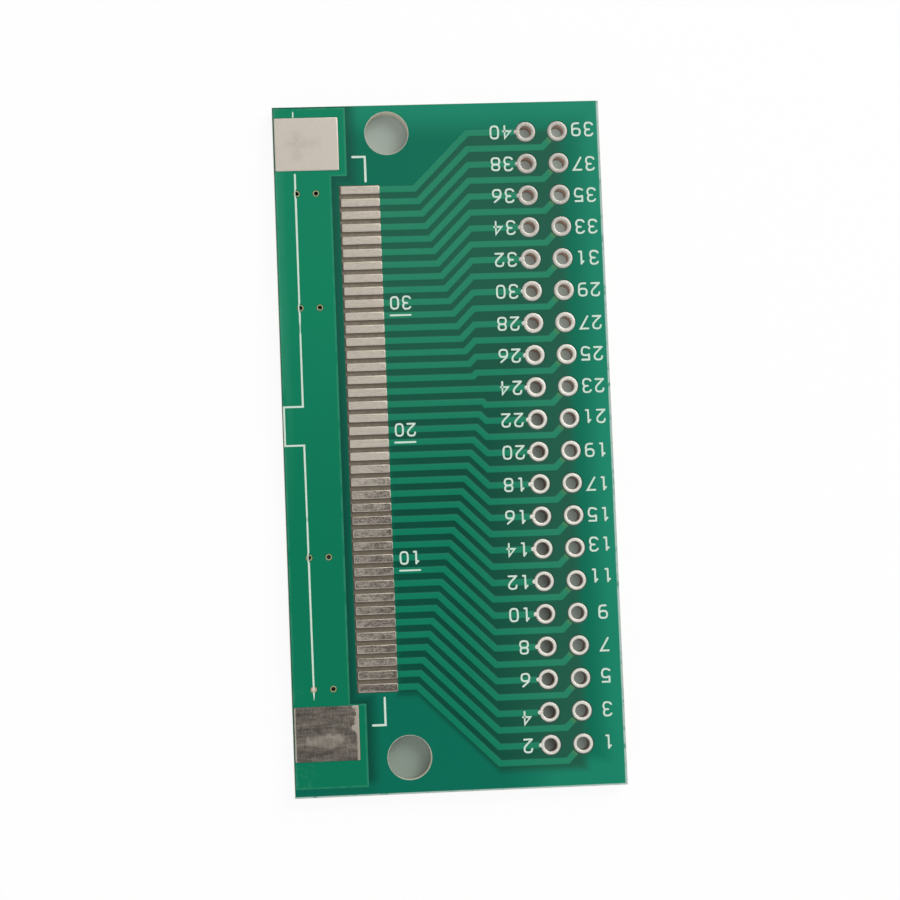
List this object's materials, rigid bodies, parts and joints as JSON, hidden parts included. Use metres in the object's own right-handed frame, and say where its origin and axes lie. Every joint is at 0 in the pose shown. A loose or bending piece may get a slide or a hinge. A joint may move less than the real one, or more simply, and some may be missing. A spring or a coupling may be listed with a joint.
{
  "type": "flex cable to pin header adapter board",
  "caption": "Bare green circuit board that fans a row of flat flex connector pads out to a two-column field of plated pin holes, with anchor pads, ground strip and two mounting holes",
  "frame": {"origin": "under the middle of the board, level with its lowest plane, the tinned rings on the back", "axes": "+Y runs up the board's length, along the row of flex pads, towards pins 39 and 40; +X runs across it from the flex pads to the header; +Z comes out of the side that carries the flex pads"},
  "size_m": [0.0258, 0.054, 0.0016],
  "materials": {
    "laminate": "sawn glass-epoxy laminate, dull, pale olive-beige",
    "solder_mask": "semi-gloss green solder mask straight on the laminate, darker",
    "coated_copper": "semi-gloss green solder mask over copper, lighter",
    "tinned_copper": "hot-air levelled solder, satin grey with a warm cast",
    "silkscreen_ink": "matt off-white printed ink"
  },
  "bodies": {
    "root": {"laminate_core": "laminate", "header_barrels_even": "tinned_copper", "header_barrels_odd": "tinned_copper", "top_tracks_even": "coated_copper", "top_tracks_odd": "coated_copper", "top_ground_pour": "coated_copper", "bottom_ground_pour": "coated_copper", "flex_pads": "tinned_copper", "upper_anchor_pad": "tinned_copper", "lower_anchor_pad": "tinned_copper", "ground_vias": "tinned_copper", "top_solder_mask": "solder_mask", "bottom_solder_mask": "solder_mask", "silkscreen_outline": "silkscreen_ink", "silkscreen_corner_marks": "silkscreen_ink", "silkscreen_pin_ticks": "silkscreen_ink"}
  },
  "joints": []
}
